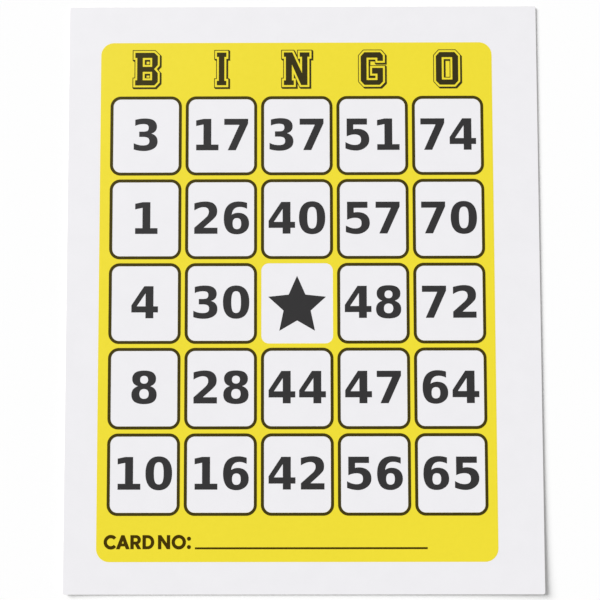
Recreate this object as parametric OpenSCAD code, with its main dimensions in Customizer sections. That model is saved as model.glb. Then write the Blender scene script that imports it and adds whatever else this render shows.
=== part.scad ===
// A paper bingo card that lies face up: one sheet of coated card, and the films of ink printed on it.
// The origin is the centre of the sheet's back. +X runs to the right of the print, +Y to its head and
// +Z out of the printed face. Yellow lies on the card, and the black of the frames, the head letters
// and the foot lies on the yellow. The numbers and the star are black straight on the card.

/* [Card] */
// Thickness of the sheet
card_t = 0.35; // [0.2:0.05:1.5]
// Radius of the sheet's corners
card_r = 0.7; // [0.3:0.1:6]
// Bare card left of the yellow panel
margin_left = 10.3; // [3:0.1:40]
// Bare card right of the yellow panel
margin_right = 14.4; // [3:0.1:40]
// Bare card above the yellow panel
margin_top = 11.8; // [3:0.1:40]
// Bare card below the yellow panel
margin_bottom = 10; // [3:0.1:40]

/* [Yellow panel] */
// Radius of the panel's corners
panel_r = 4.1; // [1:0.1:8]
// Yellow left of the first column of cells
panel_left = 3.15; // [1:0.05:20]
// Yellow right of the last column of cells
panel_right = 2.9; // [1:0.05:20]

/* [Cells] */
// Width of the clear card inside a frame
cell_w = 20.95; // [16:0.05:60]
// Height of the clear card inside a frame
cell_h = 23.55; // [16:0.05:60]
// Yellow between two cells
cell_gap = 1.25; // [0.5:0.05:8]
// Width of the black line round a cell
frame_line = 0.95; // [0.3:0.05:1.5]
// Radius of a frame's outer corners
frame_r = 3.35; // [1.8:0.05:6]
// Radius of the free cell's corners
free_r = 2.4; // [1:0.1:6]
// How far the free cell's edge lies inside a frame's outer edge, on each side
free_inset = 0.1; // [0:0.05:1]
// Clear card between the free cell's edge and its star, on each side
star_clear = 2.2; // [0.5:0.1:5]

/* [Numbers] */
// Clear card on each side of a number of two figures
number_clear = 0.85; // [0.2:0.05:4]
// Height of the numbers' middle above the middle of the cell
number_rise = 0.4; // [0:0.1:2]

/* [Head letters] */
// Height of a letter
letter_h = 10.5; // [6:0.1:20]
// Yellow between a letter and the panel's top edge
letter_above = 3.2; // [2.5:0.1:20]
// Yellow between a letter and the first row of cells
letter_below = 3.65; // [2.5:0.05:20]

/* [Foot] */
// Height of the capitals of the label
label_h = 4.2; // [2:0.1:8]
// Yellow between the panel's left edge and the label
label_left = 2.4; // [2:0.1:20]
// Yellow between the last row of cells and the label
label_above = 5.95; // [1:0.05:20]
// Yellow between the label's baseline and the panel's bottom edge
label_below = 4; // [2:0.05:20]
// Thickness of the line to write on
rule_line = 0.6; // [0.2:0.05:1]
// How far that line reaches below the label's baseline
rule_drop = 0.1; // [0:0.05:1]
// Gap between the label and the line to write on
rule_gap = 1.3; // [0.5:0.1:10]
// Yellow between the end of that line and the panel's right edge
rule_end = 22; // [3:0.1:40]

/* [Ink] */
// Thickness of one film of ink
ink_t = 0.02; // [0.01:0.005:0.1]
// How far the ink of the numbers spreads past their outlines
number_spread = 0.02; // [0:0.01:0.1]
// How far the ink of the head letters spreads past their outlines
letter_spread = 0.05; // [0:0.01:0.1]
// How far the ink of the label spreads past its outlines
label_spread = 0.06; // [0:0.01:0.1]

/* [Hidden] */
$fn = 48;

paper_white = "#f0f0f2";
ink_yellow = "#f1de3d";
ink_black = "#3a393a";
ink_black_on_yellow = "#423a14";

head = "BINGO";
// The numbers in each column, from the top row down. The free cell has none.
column_numbers = [
    ["3", "1", "4", "8", "10"],
    ["17", "26", "30", "28", "16"],
    ["37", "40", "", "44", "42"],
    ["51", "57", "48", "47", "56"],
    ["74", "70", "72", "64", "65"],
];
columns = len(column_numbers);
rows = len(column_numbers[0]);

// Sizes that follow from the ones above, from the cells outwards.
frame_w = cell_w + 2 * frame_line;
frame_h = cell_h + 2 * frame_line;
free_w = frame_w - 2 * free_inset;
free_h = frame_h - 2 * free_inset;
pitch_x = frame_w + cell_gap;
pitch_y = frame_h + cell_gap;
grid_w = columns * pitch_x - cell_gap;
grid_h = rows * pitch_y - cell_gap;
panel_w = panel_left + grid_w + panel_right;
panel_head = letter_below + letter_h + letter_above;
panel_foot = label_below + label_h + label_above;
panel_h = panel_foot + grid_h + panel_head;
card_w = margin_left + panel_w + margin_right;
card_h = margin_bottom + panel_h + margin_top;

// Places, from the middle of the card.
panel_x = margin_left - card_w / 2;
panel_y = margin_bottom - card_h / 2;
grid_x = panel_x + panel_left;
grid_top = panel_y + panel_foot + grid_h;
label_x = panel_x + label_left;
label_y = panel_y + label_below;

function column_x(column) = grid_x + frame_w / 2 + column * pitch_x;
function row_y(row) = grid_top - frame_h / 2 - row * pitch_y;
function is_free(cell) = column_numbers[cell.x][cell.y] == "";
cells = [for (column = [0:columns - 1]) for (row = [0:rows - 1]) [column, row]];
numbered_cells = [for (cell = cells) if (!is_free(cell)) cell];

// Names of the pieces of a column and of a cell, such as letter_b and frame_b1.
function column_name(column) = chr(ord(head[column]) + ord("a") - ord("A"));
function cell_name(cell) = str(column_name(cell.x), cell.y + 1);

// An outline runs anticlockwise. A point of two values is a corner or a place that the line passes
// through, and a third value makes it a bend, which pulls the line between its neighbours into a
// curve. Between two bends the line passes midway. Outlines are given as shares of a letter's height
// or a figure's em, the body first and then the holes in it.
bend = 1;
bend_steps = 6;

function near_end(bent, other) = len(other) == 2 ? other : (bent + other) / 2;
function curve_at(start, pull, stop, t) =
    (1 - t) * (1 - t) * start + 2 * t * (1 - t) * pull + t * t * stop;
function flat(point) = [point.x, point.y];
function traced(outline) = [
    for (k = [0:len(outline) - 1])
        let (
            here = outline[k],
            before = outline[(k + len(outline) - 1) % len(outline)],
            after = outline[(k + 1) % len(outline)],
            start = flat(near_end(here, before)),
            stop = flat(near_end(here, after)),
            first = len(before) == 2 ? 1 : 0
        )
        each len(here) == 2
            ? [here]
            : [for (step = [first:bend_steps - 1]) curve_at(start, flat(here), stop, step / bend_steps)]
];

// An oval of eight bends. A true circle has a shoulder of tan(22.5), and a squarer oval has more.
circle_share = tan(22.5);
function oval_shares(middle, half, shoulder) = [
    for (side = [[1, shoulder], [shoulder, 1], [-shoulder, 1], [-1, shoulder],
                 [-1, -shoulder], [-shoulder, -1], [shoulder, -1], [1, -shoulder]])
        [middle.x + half.x * side.x, middle.y + half.y * side.y, bend]
];

// The same point elsewhere, still a corner or a bend.
function moved(point, x, y) = len(point) == 2 ? [x, y] : [x, y, bend];
// A shape from its right half, which starts and ends on the axis.
function both_sides(half) = concat(half, [
    for (k = [len(half) - 2:-1:1]) moved(half[k], 2 * half[0].x - half[k].x, half[k].y)
]);
// A figure's outlines turned upside down.
function turned(glyph) = [
    for (part = glyph) [
        for (outline = part) [
            for (point = outline)
                moved(point, figure_advance_share - point.x, figure_h_share - point.y)
        ]
    ]
];

// Bold upright figures, as shares of the em.
figure_h_share = 0.729;
figure_advance_share = 0.696;
figure_middle_share = 0.348;

zero_shares = [
    [oval_shares([figure_middle_share, 0.364], [0.3, 0.378], 0.485)],
    [oval_shares([figure_middle_share, 0.364], [0.112, 0.25], 0.55)],
];
one_shares = [
    [[
        [0.115, 0], [0.627, 0], [0.627, 0.13], [0.46, 0.13], [0.46, 0.729], [0.283, 0.729],
        [0.113, 0.693], [0.113, 0.566], [0.283, 0.601], [0.283, 0.13], [0.115, 0.13],
    ]],
    [],
];
two_shares = [
    [[
        [0.08, 0], [0.61, 0], [0.61, 0.137], [0.289, 0.137], [0.455, 0.283],
        [0.535, 0.355, bend], [0.603, 0.44, bend], [0.603, 0.525],
        [0.603, 0.615, bend], [0.48, 0.742, bend], [0.33, 0.742],
        [0.22, 0.742, bend], [0.08, 0.7], [0.08, 0.54],
        [0.2, 0.614, bend], [0.29, 0.614],
        [0.345, 0.614, bend], [0.414, 0.562, bend], [0.414, 0.503],
        [0.414, 0.435, bend], [0.345, 0.37], [0.08, 0.137],
    ]],
    [],
];
three_shares = [
    [[
        [0.067, 0.022], [0.18, -0.014, bend], [0.3, -0.014],
        [0.435, -0.014, bend], [0.615, 0.095, bend], [0.615, 0.205],
        [0.615, 0.35, bend], [0.467, 0.392],
        [0.598, 0.43, bend], [0.598, 0.55],
        [0.598, 0.635, bend], [0.475, 0.742, bend], [0.32, 0.742],
        [0.21, 0.742, bend], [0.098, 0.711], [0.098, 0.574],
        [0.19, 0.614, bend], [0.285, 0.614],
        [0.35, 0.614, bend], [0.41, 0.575, bend],
        [0.41, 0.475, bend], [0.35, 0.435, bend], [0.275, 0.435],
        [0.192, 0.435], [0.192, 0.315], [0.275, 0.315],
        [0.355, 0.315, bend], [0.428, 0.27, bend],
        [0.428, 0.16, bend], [0.355, 0.114, bend], [0.275, 0.114],
        [0.17, 0.114, bend], [0.067, 0.166],
    ]],
    [],
];
four_shares = [
    [[
        [0.368, 0], [0.545, 0], [0.545, 0.133], [0.65, 0.133], [0.65, 0.269], [0.545, 0.269],
        [0.545, 0.729], [0.336, 0.729], [0.045, 0.294], [0.045, 0.133], [0.368, 0.133],
    ]],
    [[[0.368, 0.269], [0.368, 0.573], [0.162, 0.269]]],
];
five_shares = [
    [[
        [0.077, 0.035], [0.2, -0.014, bend], [0.32, -0.014],
        [0.44, -0.014, bend], [0.625, 0.125, bend],
        [0.625, 0.36, bend], [0.475, 0.49, bend], [0.345, 0.49],
        [0.3, 0.49, bend], [0.256, 0.478], [0.256, 0.591],
        [0.573, 0.591], [0.573, 0.729], [0.106, 0.729], [0.106, 0.318],
        [0.2, 0.361, bend], [0.29, 0.361],
        [0.36, 0.361, bend], [0.438, 0.305, bend],
        [0.438, 0.17, bend], [0.36, 0.114, bend], [0.29, 0.114],
        [0.19, 0.114, bend], [0.077, 0.182],
    ]],
    [],
];
six_shares = [
    [[
        [0.594, 0.709], [0.5, 0.741, bend], [0.4, 0.741],
        [0.24, 0.741, bend], [0.062, 0.55, bend], [0.062, 0.35],
        [0.062, 0.18, bend], [0.205, -0.014, bend], [0.36, -0.014],
        [0.476, -0.014, bend], [0.64, 0.12, bend],
        [0.64, 0.35, bend], [0.505, 0.481, bend], [0.39, 0.481],
        [0.31, 0.481, bend], [0.24, 0.433],
        [0.26, 0.617, bend], [0.425, 0.617], [0.51, 0.617, bend], [0.594, 0.574],
    ]],
    [oval_shares([0.362, 0.232], [0.1, 0.129], 0.51)],
];
seven_shares = [
    [[
        [0.15, 0], [0.332, 0], [0.616, 0.623], [0.616, 0.729],
        [0.067, 0.729], [0.067, 0.591], [0.418, 0.591],
    ]],
    [],
];
eight_shares = [
    [both_sides([
        [figure_middle_share, -0.014],
        [0.49, -0.014, bend], [0.634, 0.09, bend], [0.634, 0.2],
        [0.634, 0.345, bend], [0.485, 0.389],
        [0.618, 0.43, bend], [0.618, 0.555],
        [0.618, 0.64, bend], [0.495, 0.742, bend],
        [figure_middle_share, 0.742],
    ])],
    [
        oval_shares([figure_middle_share, 0.535], [0.092, 0.09], 0.48),
        oval_shares([figure_middle_share, 0.215], [0.108, 0.112], 0.48),
    ],
];
figure_shares = [
    zero_shares, one_shares, two_shares, three_shares, four_shares,
    five_shares, six_shares, seven_shares, eight_shares, turned(six_shares),
];

// Slab letters with cut corners for the head of each column, as shares of the letter's height: the
// body, the holes in it, and the outline that its edge follows where that isn't the body's.
letter_shares = [
    // B
    [
        [[
            [0, 0], [0.58, 0], [0.68, 0.105], [0.68, 0.37], [0.565, 0.5], [0.68, 0.63],
            [0.68, 0.9], [0.575, 1], [0, 1], [0, 0.85], [0.06, 0.85], [0.06, 0.15], [0, 0.15],
        ]],
        [
            [[0.22, 0.15], [0.515, 0.15], [0.515, 0.42], [0.22, 0.42]],
            [[0.22, 0.565], [0.515, 0.565], [0.515, 0.85], [0.22, 0.85]],
        ],
    ],
    // I
    [
        [[
            [0, 0], [0.28, 0], [0.28, 0.125], [0.22, 0.125], [0.22, 0.875], [0.28, 0.875],
            [0.28, 1], [0, 1], [0, 0.875], [0.06, 0.875], [0.06, 0.125], [0, 0.125],
        ]],
        [],
    ],
    // N
    [
        [[
            [0, 0], [0.295, 0], [0.295, 0.135], [0.235, 0.135], [0.235, 0.66], [0.525, 0],
            [0.71, 0], [0.71, 0.875], [0.775, 0.875], [0.775, 1], [0.485, 1], [0.485, 0.875],
            [0.555, 0.875], [0.555, 0.34], [0.25, 1], [0, 1], [0, 0.875], [0.06, 0.875],
            [0.06, 0.135], [0, 0.135],
        ]],
        [],
        // Deep in the two notches the edges run together, so each notch is as wide as its mouth.
        [[
            [0, 0], [0.295, 0], [0.295, 0.52], [0.525, 0], [0.71, 0], [0.71, 0.875], [0.775, 0.875],
            [0.775, 1], [0.485, 1], [0.485, 0.49], [0.25, 1], [0, 1], [0, 0.875], [0.06, 0.875],
            [0.06, 0.135], [0, 0.135],
        ]],
    ],
    // G
    [
        [[
            [0.11, 0], [0.57, 0], [0.67, 0.1], [0.67, 0.515], [0.345, 0.515], [0.345, 0.345],
            [0.51, 0.345], [0.51, 0.14], [0.17, 0.14], [0.17, 0.84], [0.51, 0.84],
            [0.51, 0.74], [0.67, 0.74], [0.67, 0.905], [0.59, 1], [0.11, 1], [0, 0.875], [0, 0.12],
        ]],
        [],
        // Beside and under the spur the edges run together, so the mouth ends at the spur's top.
        [[
            [0.11, 0], [0.57, 0], [0.67, 0.1], [0.67, 0.515], [0.17, 0.515], [0.17, 0.84], [0.51, 0.84],
            [0.51, 0.74], [0.67, 0.74], [0.67, 0.905], [0.59, 1], [0.11, 1], [0, 0.875], [0, 0.12],
        ]],
    ],
    // O
    [
        [[
            [0.11, 0], [0.56, 0], [0.67, 0.12], [0.67, 0.88], [0.56, 1], [0.11, 1],
            [0, 0.88], [0, 0.12],
        ]],
        [[[0.17, 0.15], [0.5, 0.15], [0.5, 0.85], [0.17, 0.85]]],
    ],
];
// Round each letter runs a yellow gap and then a thin black line, which casts a solid shadow
// down and to the right.
letter_gap = 0.064 * letter_h;
letter_line = 0.022 * letter_h;
letter_shadow = 0.036 * letter_h * [1, -1];

// Plain capitals for the label of the line to write on, as shares of the capitals' height. Each has
// the gap before it, and then its outlines.
label_shares = [
    // C
    [0, [
        [[
            [0.905, 0.848], [0.75, 1.02, bend], [0.52, 1.02],
            [0.305, 1.02, bend], [0, 0.715, bend], [0, 0.285, bend], [0.305, -0.02, bend], [0.52, -0.02],
            [0.75, -0.02, bend], [0.905, 0.152], [0.743, 0.3], [0.653, 0.2, bend], [0.52, 0.2],
            [0.396, 0.2, bend], [0.22, 0.376, bend], [0.22, 0.624, bend], [0.396, 0.8, bend], [0.52, 0.8],
            [0.653, 0.8, bend], [0.743, 0.7],
        ]],
        [],
    ]],
    // A
    [0.02, [
        [[
            [0, 0], [0.25, 0], [0.33, 0.21], [0.65, 0.21], [0.73, 0], [0.98, 0], [0.6, 1], [0.38, 1],
        ]],
        [[[0.4, 0.39], [0.58, 0.39], [0.49, 0.64]]],
    ]],
    // R
    [0.08, [
        [[
            [0, 0], [0.225, 0], [0.225, 0.34], [0.33, 0.34], [0.52, 0], [0.78, 0], [0.56, 0.38],
            [0.75, 0.45, bend], [0.75, 0.67], [0.75, 0.81, bend], [0.56, 1, bend], [0.42, 1], [0, 1],
        ]],
        [[
            [0.225, 0.53], [0.4, 0.53], [0.46, 0.53, bend], [0.53, 0.61, bend],
            [0.53, 0.73, bend], [0.46, 0.81, bend], [0.4, 0.81], [0.225, 0.81],
        ]],
    ]],
    // D
    [0.12, [
        [[
            [0, 0], [0.36, 0], [0.57, 0, bend], [0.85, 0.29, bend],
            [0.85, 0.71, bend], [0.57, 1, bend], [0.36, 1], [0, 1],
        ]],
        [[
            [0.225, 0.19], [0.34, 0.19], [0.47, 0.19, bend], [0.63, 0.37, bend],
            [0.63, 0.63, bend], [0.47, 0.81, bend], [0.34, 0.81], [0.225, 0.81],
        ]],
    ]],
    // N
    [0.3, [
        [[
            [0, 0], [0.225, 0], [0.225, 0.62], [0.66, 0], [0.88, 0], [0.88, 1],
            [0.655, 1], [0.655, 0.38], [0.22, 1], [0, 1],
        ]],
        [],
    ]],
    // O
    [0.13, [
        [oval_shares([0.52, 0.5], [0.52, 0.52], circle_share)],
        [oval_shares([0.52, 0.5], [0.3, 0.3], circle_share)],
    ]],
    // The colon
    [0.1, [
        [
            oval_shares([0.135, 0.14], [0.135, 0.135], circle_share),
            oval_shares([0.135, 0.75], [0.135, 0.135], circle_share),
        ],
        [],
    ]],
];

function width_share(glyph) = max([for (point = glyph[0][0]) point.x]);
function label_share(k) =
    k == 0 ? 0 : label_share(k - 1) + width_share(label_shares[k - 1][1]) + label_shares[k][0];
last_label = len(label_shares) - 1;
label_w = (label_share(last_label) + width_share(label_shares[last_label][1])) * label_h;

// A five-pointed star, as wide as the free cell less its clearances.
star_points = 5;
star_waist_share = 0.47;
star_r = (free_w - 2 * star_clear) / (2 * sin(72));
star_drop = star_r * (1 - cos(36)) / 2;

number_advance = (cell_w - 2 * number_clear) / 2;
number_em = number_advance / figure_advance_share;
number_base = number_rise - figure_h_share * number_em / 2;

// An outline of straight lines with each side moved outwards by d, and its corners kept sharp.
function outward(from, to) = let (run = to - from) [run.y, -run.x] / norm(run);
function grown(points, d) = [
    for (k = [0:len(points) - 1])
        let (
            here = points[k],
            before = outward(points[(k + len(points) - 1) % len(points)], here),
            after = outward(here, points[(k + 1) % len(points)])
        )
        here + d * (before + after) / (1 + before * after)
];

// The outline of what a shape covers as it slides by a shift. The sides that face the way it slides
// go along. At a jutting corner between such a side and one that stays, the corner's own path joins
// them, and in a notch the two sides meet where they cross.
function side_shift(from, to, shift) = outward(from, to) * shift > 0 ? shift : [0, 0];
function slid(points, shift) = [
    for (k = [0:len(points) - 1])
        let (
            here = points[k],
            run_in = here - points[(k + len(points) - 1) % len(points)],
            run_out = points[(k + 1) % len(points)] - here,
            shift_in = side_shift(here - run_in, here, shift),
            shift_out = side_shift(here, here + run_out, shift)
        )
        each shift_in == shift_out
            ? [here + shift_in]
            : cross(run_in, run_out) > 0
                ? [here + shift_in, here + shift_out]
                : [here + shift_in + run_in * cross(shift_out - shift_in, run_out) / cross(run_in, run_out)]
];

// A rectangle about the origin with round corners.
module round_rect(w, h, r) {
    square([w - 2 * r, h], center = true);
    square([w, h - 2 * r], center = true);
    for (x = [-1, 1]) for (y = [-1, 1])
        translate([x * (w / 2 - r), y * (h / 2 - r)]) circle(r);
}

// A letter or figure of a given height or em, with its start at the origin. The ink spreads past
// its outlines by a given width, into its holes too.
module glyph(outlines, size, spread) {
    difference() {
        for (body = outlines[0]) polygon(grown(traced(body) * size, spread));
        for (hole = outlines[1]) polygon(grown(traced(hole) * size, -spread));
    }
}

// One film of ink, on the card or on the film that lies on the card.
module film(films_below) {
    translate([0, 0, card_t + films_below * ink_t]) linear_extrude(ink_t) children();
}

module at_cell(cell) {
    translate([column_x(cell.x), row_y(cell.y)]) children();
}

module card_sheet() {
    color(paper_white) linear_extrude(card_t) round_rect(card_w, card_h, card_r);
}

// Yellow over the whole panel, left open inside each frame and over the free cell.
module yellow_panel() {
    color(ink_yellow) film(0) difference() {
        translate([panel_x + panel_w / 2, panel_y + panel_h / 2]) round_rect(panel_w, panel_h, panel_r);
        for (cell = cells) at_cell(cell)
            if (is_free(cell)) round_rect(free_w, free_h, free_r);
            else round_rect(cell_w, cell_h, frame_r - frame_line);
    }
}

module cell_frame(cell) {
    color(ink_black_on_yellow) film(1) at_cell(cell) difference() {
        round_rect(frame_w, frame_h, frame_r);
        round_rect(cell_w, cell_h, frame_r - frame_line);
    }
}

module cell_number(cell) {
    number = column_numbers[cell.x][cell.y];
    color(ink_black) film(0) at_cell(cell)
        for (k = [0:len(number) - 1])
            translate([(k - len(number) / 2) * number_advance, number_base])
                glyph(figure_shares[ord(number[k]) - ord("0")], number_em, number_spread);
}

module free_star() {
    color(ink_black) film(0)
        for (cell = cells) if (is_free(cell)) at_cell(cell) translate([0, -star_drop]) polygon([
            for (k = [0:2 * star_points - 1])
                let (r = k % 2 == 0 ? star_r : star_waist_share * star_r, angle = 90 + 180 * k / star_points)
                r * [cos(angle), sin(angle)]
        ]);
}

// The thin line round a letter and inside its holes, with the shadow that it casts.
module letter_edge(outlines) {
    followed = len(outlines) == 3 ? outlines[2] : outlines[0];
    difference() {
        for (edge = followed) polygon(slid(grown(edge * letter_h, letter_gap + letter_line), letter_shadow));
        for (body = outlines[0]) polygon(grown(body * letter_h, letter_gap));
    }
    for (outline = outlines[1]) let (hole = outline * letter_h) difference() {
        polygon(grown(hole, -letter_gap));
        intersection() {
            polygon(grown(hole, -letter_gap - letter_line));
            translate(letter_shadow) polygon(grown(hole, -letter_gap - letter_line));
        }
    }
}

module head_letter(column) {
    outlines = letter_shares[column];
    color(ink_black_on_yellow) film(1)
        translate([column_x(column) - width_share(outlines) * letter_h / 2, grid_top + letter_below]) {
            glyph(outlines, letter_h, letter_spread);
            letter_edge(outlines);
        }
}

module write_in_label() {
    color(ink_black_on_yellow) film(1) translate([label_x, label_y])
        for (k = [0:last_label])
            translate([label_share(k) * label_h, 0]) glyph(label_shares[k][1], label_h, label_spread);
}

module write_in_rule() {
    start = label_x + label_w + rule_gap;
    stop = panel_x + panel_w - rule_end;
    color(ink_black_on_yellow) film(1) translate([start, label_y - rule_drop]) square([stop - start, rule_line]);
}

card_sheet();
yellow_panel();
free_star();
write_in_label();
write_in_rule();
for (column = [0:columns - 1])
    head_letter(column);
for (cell = numbered_cells) {
    cell_frame(cell);
    cell_number(cell);
}
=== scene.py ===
import math

import bpy
import numpy as np
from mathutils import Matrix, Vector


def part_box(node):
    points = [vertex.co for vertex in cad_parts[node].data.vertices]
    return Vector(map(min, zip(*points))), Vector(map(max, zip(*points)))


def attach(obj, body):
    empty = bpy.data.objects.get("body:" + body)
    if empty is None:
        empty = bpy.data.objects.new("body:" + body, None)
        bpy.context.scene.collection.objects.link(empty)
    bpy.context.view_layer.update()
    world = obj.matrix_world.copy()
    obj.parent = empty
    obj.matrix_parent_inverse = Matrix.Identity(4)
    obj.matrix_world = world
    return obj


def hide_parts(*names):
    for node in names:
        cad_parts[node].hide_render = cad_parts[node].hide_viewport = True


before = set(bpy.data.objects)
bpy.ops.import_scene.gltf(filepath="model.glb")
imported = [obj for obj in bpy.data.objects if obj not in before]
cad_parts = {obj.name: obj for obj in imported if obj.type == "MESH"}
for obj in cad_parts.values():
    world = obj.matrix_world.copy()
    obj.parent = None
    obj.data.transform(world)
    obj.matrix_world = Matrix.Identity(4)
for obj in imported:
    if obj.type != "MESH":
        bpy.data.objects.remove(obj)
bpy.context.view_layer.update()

MM = 0.001

# Camera
# The picture was taken from nearly straight above, a little over the middle of the card. Its optical axis
# lies above its middle, as after a crop. The turns are in radians.
IMAGE_SIDE = 600
FOCAL_PIXELS = 754.35
OPTICAL_AXIS_ROW = 240
CAMERA_PLACE = (-0.3652 * MM, 6.2152 * MM, 239.5113 * MM)
CAMERA_TURN = (0.04717, 0.0026, -0.00189)
SENSOR_WIDTH = 36.0
NEAREST_SEEN = 10 * MM
FURTHEST_SEEN = 20000 * MM

# Light
# One broad soft lamp from the upper left, and an even white room round it. Together they put
# an irradiance of pi on a level surface, so a colour renders as it is written.
LAMP_SHARE = 0.64
ROOM_SHARE = 1 - LAMP_SHARE
LAMP_ELEVATION = math.radians(31)
# Shadows run 0.7 towards the foot of the card for each 1 to its right.
LAMP_HEADING = math.atan2(-0.7, 1.0)
# How wide the lamp looks from the card, in radians, which softens the shadow's edge.
LAMP_WIDTH = 0.58
BACKGROUND_HEX = "#fefefe"

# Table
# The card lies close to the table at its top left only. The gap under it grows to the right and to the
# foot. It dips further under the two lower corners, most at the right one, where the shadow is widest.
GAP_AT_START = 0.01 * MM
GAP_TO_RIGHT = 0.22 * MM
GAP_TO_FOOT = 0.17 * MM
# Each dip has the sign of its corner, its depth, and its reach along the foot and up the side.
DIPS = (
    (1, 0.86 * MM, 16 * MM, 22 * MM),
    (-1, 0.70 * MM, 9 * MM, 9 * MM),
)
DIP_FADE = 400 * MM
TABLE_SIDE = 6000 * MM
GRID_REACH = 600 * MM
GRID_LINES = 601

# Card
CARD_CORNER = 0.7 * MM
CORNER_STEPS = 12
FRONT_ROLL = 0.10 * MM
BACK_ROLL = 0.05 * MM
ROLL_STEPS = 6
WALL_LEAN = 0.02 * MM
# Each face's first ring lies this far inside the edge, and the others at these shares of its size.
EDGE_RING = 0.4 * MM
FACE_RING_SHARES = (0.25, 0.5, 0.75)
# The places of the three finishes among the card's materials.
FACE, EDGE, BACK = range(3)

# Finish
# Board and dry ink have one index. The photographed card reflects a dull side of its room, so its gloss
# is about half of the full one, which is 0.5.
FILM_IOR = 1.5
GLOSS = 0.27
INK_ROUGHNESS = 0.50
# The coating's grain is about 0.05 mm wide on the real card. It is drawn at 0.3 mm, so that it shows.
GRAIN = 0.3 * MM
# The pulp's cloudy formation, its flecks, and its fibres with their width as a share of their length.
CLOUD = 7 * MM
FLECK = 0.35 * MM
FIBRE = 0.22 * MM
FIBRE_SHARE = 0.18
# How the ink follows the grain under it, and how wide the drift of its density over the sheet is.
INK_RELIEF = 0.0025 * MM
INK_DRIFT = 30 * MM
YELLOW_MOTTLE, YELLOW_BLOTCH = 0.012, 1.6 * MM
BLACK_MOTTLE, BLACK_BLOTCH = 0.05, 0.9 * MM


def linear(hex_colour):
    """Linear colour of an sRGB hex value.

    A channel c up to 0.04045 gives c / 12.92, and one above it ((c + 0.055) / 1.055) ** 2.4."""
    share = np.array([int(hex_colour[i:i + 2], 16) for i in (1, 3, 5)]) / 255
    value = np.where(share <= 0.04045, share / 12.92, ((share + 0.055) / 1.055) ** 2.4)
    return (*value.tolist(), 1.0)


def add(tree, kind, inputs=None, **settings):
    """Adds one node with its settings. An input takes a value, or a link where a socket is given."""
    node = tree.nodes.new("ShaderNode" + kind)
    for name, value in settings.items():
        setattr(node, name, value)
    for name, value in (inputs or {}).items():
        if isinstance(value, bpy.types.NodeSocket):
            tree.links.new(value, node.inputs[name])
        else:
            node.inputs[name].default_value = value
    return node


def new_material(name):
    """An empty node material, with its tree and its output."""
    material = bpy.data.materials.new(name)
    material.use_nodes = True
    tree = material.node_tree
    tree.nodes.clear()
    return material, tree, add(tree, "OutputMaterial")


def card_board(name, hex_colour, roughness, grain_depth, fibre_depth, flecks):
    """Paperboard. Cloudy formation in the tone, fine grain and long fibres in the surface.

    flecks is how much darker than the pulp its flecks are, as a share."""
    material, tree, output = new_material(name)
    place = add(tree, "TexCoord").outputs["Object"]
    cloud = add(tree, "TexNoise", {"Vector": place, "Scale": 1 / CLOUD, "Detail": 3.0})
    tone = add(tree, "MapRange", {"Value": cloud.outputs["Fac"], "From Min": 0.3, "From Max": 0.7,
                                  "To Min": 0.988, "To Max": 1.006})
    # Only the peaks of this noise are flecks, so that they lie well apart.
    peaks = add(tree, "TexNoise", {"Vector": place, "Scale": 1 / FLECK, "Detail": 1.0})
    fleck = add(tree, "MapRange", {"Value": peaks.outputs["Fac"], "From Min": 0.68, "From Max": 0.8,
                                   "To Min": 1.0, "To Max": 1.0 - flecks})
    both = add(tree, "Math", {0: tone.outputs["Result"], 1: fleck.outputs["Result"]}, operation="MULTIPLY")
    colour = add(tree, "VectorMath", {0: linear(hex_colour)[:3], "Scale": both.outputs["Value"]},
                 operation="SCALE")
    grain = add(tree, "TexNoise", {"Vector": place, "Scale": 1 / GRAIN, "Detail": 2.0})
    # Fibres lie along the length of the sheet, which is the way the paper machine ran.
    along = add(tree, "Mapping", {"Vector": place, "Scale": (1.0, FIBRE_SHARE, 1.0)})
    fibre = add(tree, "TexNoise", {"Vector": along.outputs["Vector"], "Scale": 1 / FIBRE,
                                   "Detail": 2.0, "Distortion": 0.6})
    relief = add(tree, "Bump", {"Height": grain.outputs["Fac"], "Distance": grain_depth, "Strength": 1.0})
    weave = add(tree, "Bump", {"Height": fibre.outputs["Fac"], "Distance": fibre_depth, "Strength": 1.0,
                               "Normal": relief.outputs["Normal"]})
    sheen = add(tree, "MapRange", {"Value": grain.outputs["Fac"], "From Min": 0.35, "From Max": 0.65,
                                   "To Min": roughness - 0.04, "To Max": roughness + 0.05})
    shader = add(tree, "BsdfPrincipled", {"Base Color": colour.outputs["Vector"],
                                          "Roughness": sheen.outputs["Result"],
                                          "IOR": FILM_IOR, "Specular IOR Level": GLOSS,
                                          "Normal": weave.outputs["Normal"]})
    tree.links.new(shader.outputs["BSDF"], output.inputs["Surface"])
    return material


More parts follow.
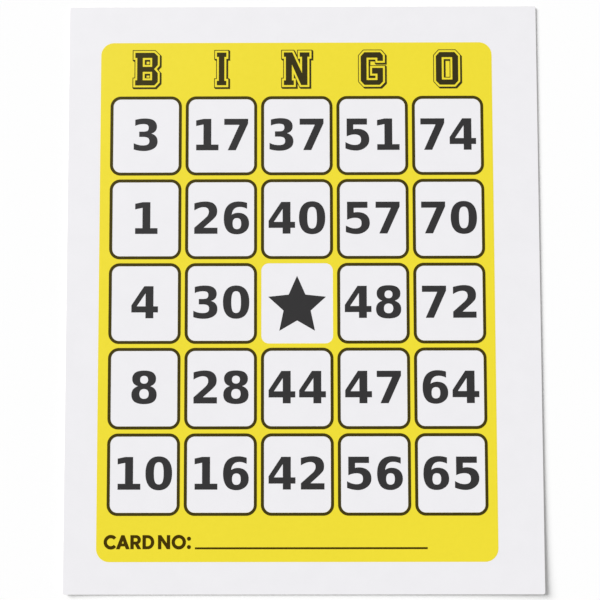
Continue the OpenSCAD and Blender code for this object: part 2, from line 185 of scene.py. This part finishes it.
def printing_ink(name, hex_colour, sheen_hex, mottle, blotch_size):
    """A film of printing ink. It dries in faint blotches, a little more and less dense and glossy.

    mottle is how much lighter or darker than its colour a blotch is, as a share."""
    material, tree, output = new_material(name)
    place = add(tree, "TexCoord").outputs["Object"]
    blotch = add(tree, "TexNoise", {"Vector": place, "Scale": 1 / blotch_size, "Detail": 2.0,
                                    "Roughness": 0.6})
    drift = add(tree, "TexNoise", {"Vector": place, "Scale": 1 / INK_DRIFT, "Detail": 1.0})
    mixed = add(tree, "Math", {0: blotch.outputs["Fac"], 1: drift.outputs["Fac"]}, operation="ADD")
    tone = add(tree, "MapRange", {"Value": mixed.outputs["Value"], "From Min": 0.7, "From Max": 1.3,
                                  "To Min": 1 - mottle, "To Max": 1 + mottle})
    colour = add(tree, "VectorMath", {0: linear(hex_colour)[:3], "Scale": tone.outputs["Result"]},
                 operation="SCALE")
    grain = add(tree, "TexNoise", {"Vector": place, "Scale": 1 / GRAIN, "Detail": 2.0})
    relief = add(tree, "Bump", {"Height": grain.outputs["Fac"], "Distance": INK_RELIEF, "Strength": 1.0})
    sheen = add(tree, "MapRange", {"Value": blotch.outputs["Fac"], "From Min": 0.35, "From Max": 0.65,
                                   "To Min": INK_ROUGHNESS - 0.05, "To Max": INK_ROUGHNESS + 0.05})
    shader = add(tree, "BsdfPrincipled", {"Base Color": colour.outputs["Vector"],
                                          "Roughness": sheen.outputs["Result"],
                                          "IOR": FILM_IOR, "Specular IOR Level": GLOSS,
                                          "Specular Tint": linear(sheen_hex),
                                          "Normal": relief.outputs["Normal"]})
    tree.links.new(shader.outputs["BSDF"], output.inputs["Surface"])
    return material


def table_paper():
    """Matt white paper, lit as if it were level all over, so that only the card's shadow shows on it."""
    material, tree, output = new_material("matt_white_paper")
    level = add(tree, "CombineXYZ", {"Z": 1.0})
    shader = add(tree, "BsdfDiffuse", {"Color": linear(BACKGROUND_HEX), "Normal": level.outputs["Vector"]})
    tree.links.new(shader.outputs["BSDF"], output.inputs["Surface"])
    return material


def make_mesh(name, points, faces, face_materials, materials, smooth):
    """One object at the origin from whole arrays of points and faces."""
    mesh = bpy.data.meshes.new(name)
    mesh.from_pydata(points.tolist(), [], faces)
    for material in materials:
        mesh.materials.append(material)
    mesh.polygons.foreach_set("material_index", face_materials)
    mesh.polygons.foreach_set("use_smooth", smooth)
    mesh.update()
    piece = bpy.data.objects.new(name, mesh)
    bpy.context.scene.collection.objects.link(piece)
    return piece


def card_outline(half_width, half_height):
    """The cut edge seen from above, anticlockwise: four arcs, centre + CARD_CORNER * (cos a, sin a).

    Returns the arcs' centres and the outward directions, so that centre + (CARD_CORNER - inset) *
    direction is the edge moved in by inset."""
    turn = np.linspace(0, math.pi / 2, CORNER_STEPS + 1)
    angle = np.concatenate([turn + quarter * math.pi / 2 for quarter in range(4)])
    signs = np.repeat([[1, 1], [-1, 1], [-1, -1], [1, -1]], CORNER_STEPS + 1, axis=0)
    centre = signs * [half_width - CARD_CORNER, half_height - CARD_CORNER]
    return centre, np.stack([np.cos(angle), np.sin(angle)], axis=1)


def edge_profile(thickness):
    """The sheet's edge in section, from the front face over the edge to the back, as (inset, height).

    The blade rolls the front over in a quarter circle of FRONT_ROLL, leaves a wall that leans in by
    WALL_LEAN to the back, and turns the back in a quarter circle of BACK_ROLL."""
    turn = np.linspace(0, math.pi / 2, ROLL_STEPS + 1)
    front = np.stack([FRONT_ROLL * (1 - np.sin(turn)), thickness - FRONT_ROLL * (1 - np.cos(turn))], axis=1)
    back = np.stack([WALL_LEAN + BACK_ROLL * (1 - np.cos(turn)), BACK_ROLL * (1 - np.sin(turn))], axis=1)
    return np.concatenate([[[EDGE_RING, thickness]], front, back, [[EDGE_RING, 0.0]]])


def cut_card(materials):
    """The sheet: its edge's section is carried round the outline, and each face runs in to its middle.

    It is centred on the origin. A ring inside the edge is share * (the edge moved in by EDGE_RING), and
    the last one is joined to the middle. EDGE_RING is less than CARD_CORNER, so that the corners' arcs
    don't turn over."""
    low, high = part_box("card_sheet")
    centre, outward = card_outline(high.x, high.y)
    profile = edge_profile(high.z - low.z)
    rings = centre + (CARD_CORNER - profile[:, :1, None]) * outward
    heights = np.broadcast_to(profile[:, 1:, None], (len(profile), len(outward), 1))
    shell = np.concatenate([rings, heights], axis=2)
    shares = np.array(FACE_RING_SHARES)[:, None, None]
    front = shell[0] * [1, 1, 0] * shares + [0, 0, high.z]
    back = shell[-1] * [1, 1, 0] * shares[::-1] + [0, 0, low.z]
    grid = np.concatenate([front, shell, back])
    count, around = grid.shape[:2]
    points = np.concatenate([grid.reshape(-1, 3), [[0, 0, high.z], [0, 0, low.z]]])

    here = np.arange((count - 1) * around).reshape(count - 1, around)
    after = np.roll(here, -1, axis=1)
    bands = np.stack([here, here + around, after + around, after], axis=2).reshape(-1, 4)
    first = np.arange(around)
    last = first + (count - 1) * around
    front_middle = np.stack([first, np.roll(first, -1), np.full(around, len(points) - 2)], axis=1)
    back_middle = np.stack([np.roll(last, -1), last, np.full(around, len(points) - 1)], axis=1)
    faces = bands.tolist() + front_middle.tolist() + back_middle.tolist()

    band = np.repeat(np.arange(count - 1), around)
    front_bands = len(FACE_RING_SHARES) + 1
    cut_bands = 2 * ROLL_STEPS + 1
    cut = (band >= front_bands) & (band < front_bands + cut_bands)
    kind = np.where(cut, EDGE, np.where(band < front_bands, FACE, BACK))
    kind = np.concatenate([kind, np.full(around, FACE), np.full(around, BACK)])
    smooth = np.concatenate([cut, np.zeros(2 * around, bool)])
    return make_mesh("cut_card", points, faces, kind, materials, smooth)


def away(distance, reach):
    """How much of a dip is left at a distance: exp(-distance / reach) towards the card's middle, where
    distance is negative, and the same with DIP_FADE away from it."""
    return np.exp(-np.abs(distance) / np.where(distance < 0, reach, DIP_FADE))


def table_top():
    """The paper on the table, as a grid of heights under the card and round it.

    height = -(start + right * u + foot * v + dips), with u from 0 to 1 across the card and v from 0 to 1
    down it, and both held at these ends outside it. A dip is its depth * away across * away down."""
    low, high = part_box("card_sheet")
    near = np.linspace(-GRID_REACH, GRID_REACH, GRID_LINES)
    line = np.concatenate([[-TABLE_SIDE / 2], near, [TABLE_SIDE / 2]])
    x, y = np.meshgrid(line, line)
    across = np.clip((x - low.x) / (high.x - low.x), 0, 1)
    down = np.clip((high.y - y) / (high.y - low.y), 0, 1)
    gap = GAP_AT_START + GAP_TO_RIGHT * across + GAP_TO_FOOT * down
    for side, depth, reach_x, reach_y in DIPS:
        gap += depth * away(side * x - high.x, reach_x) * away(low.y - y, reach_y)
    points = np.stack([x, y, -gap], axis=2).reshape(-1, 3)
    count = len(line)
    here = (np.arange(count - 1)[:, None] * count + np.arange(count - 1)).reshape(-1)
    faces = np.stack([here, here + 1, here + count + 1, here + count], axis=1)
    one_material = np.zeros(len(faces), int)
    all_smooth = np.ones(len(faces), bool)
    return make_mesh("table_top", points, faces.tolist(), one_material, [table_paper()], all_smooth)


def light_the_room():
    """White all round. It lights with ROOM_SHARE, and the eye, gloss and glass see the background's white."""
    world = bpy.data.worlds.new("white_room")
    world.use_nodes = True
    bpy.context.scene.world = world
    tree = world.node_tree
    tree.nodes.clear()
    output = add(tree, "OutputWorld")
    ray = add(tree, "LightPath")
    eye_or_gloss = add(tree, "Math", {0: ray.outputs["Is Camera Ray"], 1: ray.outputs["Is Glossy Ray"]},
                       operation="MAXIMUM")
    seen = add(tree, "Math", {0: eye_or_gloss.outputs["Value"], 1: ray.outputs["Is Transmission Ray"]},
               operation="MAXIMUM")
    strength = add(tree, "MapRange", {"Value": seen.outputs["Value"], "To Min": ROOM_SHARE,
                                      "To Max": linear(BACKGROUND_HEX)[0]})
    room = add(tree, "Background", {"Color": linear("#ffffff"), "Strength": strength.outputs["Result"]})
    tree.links.new(room.outputs["Background"], output.inputs["Surface"])


def light_the_lamp():
    """A broad lamp far off at the upper left, whose share of the light on a level surface is LAMP_SHARE."""
    lamp = bpy.data.lights.new("soft_key", "SUN")
    lamp.energy = LAMP_SHARE * math.pi / math.sin(LAMP_ELEVATION)
    lamp.angle = LAMP_WIDTH
    holder = bpy.data.objects.new("soft_key", lamp)
    holder.rotation_euler = (0.0, math.pi / 2 - LAMP_ELEVATION, LAMP_HEADING + math.pi)
    bpy.context.scene.collection.objects.link(holder)


def set_the_camera():
    """The photograph's camera. The shift puts the optical axis on its row of the picture."""
    lens = bpy.data.cameras.new("camera")
    lens.sensor_width = SENSOR_WIDTH
    lens.lens = FOCAL_PIXELS / IMAGE_SIDE * SENSOR_WIDTH
    lens.shift_y = (OPTICAL_AXIS_ROW - IMAGE_SIDE / 2) / IMAGE_SIDE
    lens.clip_start = NEAREST_SEEN
    lens.clip_end = FURTHEST_SEEN
    camera = bpy.data.objects.new("camera", lens)
    camera.location = CAMERA_PLACE
    camera.rotation_euler = CAMERA_TURN
    bpy.context.scene.collection.objects.link(camera)
    bpy.context.scene.camera = camera


# Materials

# Coated card: white board with a rolled clay coating. Smooth and satin, with a soft wide sheen.
coated_face = card_board("coated_card_face", "#efeef1", 0.52, 0.0020 * MM, 0.0010 * MM, 0.0)
# The cut edge shows the board's bare pulp, which is matt, rougher and a little warmer.
cut_edge = card_board("card_pulp_edge", "#ebe9e6", 0.75, 0.0100 * MM, 0.0100 * MM, 0.03)
# The back has no coating, so its fibres show, with a few darker flecks.
bare_back = card_board("uncoated_card_back", "#eeedeb", 0.68, 0.0050 * MM, 0.0060 * MM, 0.04)
# Offset process yellow on a coated sheet: clear, strong, a thin film that is satin like the coating.
process_yellow = printing_ink("process_yellow_ink", "#efdd31", "#ffffff", YELLOW_MOTTLE, YELLOW_BLOTCH)
# Black ink straight on the white coating: neutral, a soft black with a faint sheen.
black_on_coating = printing_ink("black_ink_on_coating", "#222122", "#ffffff", BLACK_MOTTLE, BLACK_BLOTCH)
# Black printed over the yellow film, so what light comes back from it is olive.
black_of_frames = printing_ink("black_ink_over_yellow", "#322a00", "#fff4b0", BLACK_MOTTLE, BLACK_BLOTCH)
# The head letters' solid black lies over the yellow too, but in a denser film, and less olive.
black_of_letters = printing_ink("dense_black_over_yellow", "#252117", "#fff060", BLACK_MOTTLE, BLACK_BLOTCH)
# The label and the line at the foot are in a thinner film, which looks a little browner.
black_at_foot = printing_ink("thin_black_over_yellow", "#322200", "#fff060", BLACK_MOTTLE, BLACK_BLOTCH)

# The ink of each printed node, by the first word of its name.
inks = {
    "yellow": process_yellow,
    "number": black_on_coating,
    "free": black_on_coating,
    "frame": black_of_frames,
    "letter": black_of_letters,
    "write": black_at_foot,
}
for node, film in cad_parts.items():
    if node != "card_sheet":
        film.data.materials.clear()
        film.data.materials.append(inks[node.split("_")[0]])

card = cut_card([coated_face, cut_edge, bare_back])
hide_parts("card_sheet")
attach(card, "root")
table_top()

light_the_room()
light_the_lamp()
set_the_camera()
bpy.context.scene.view_settings.view_transform = "Standard"
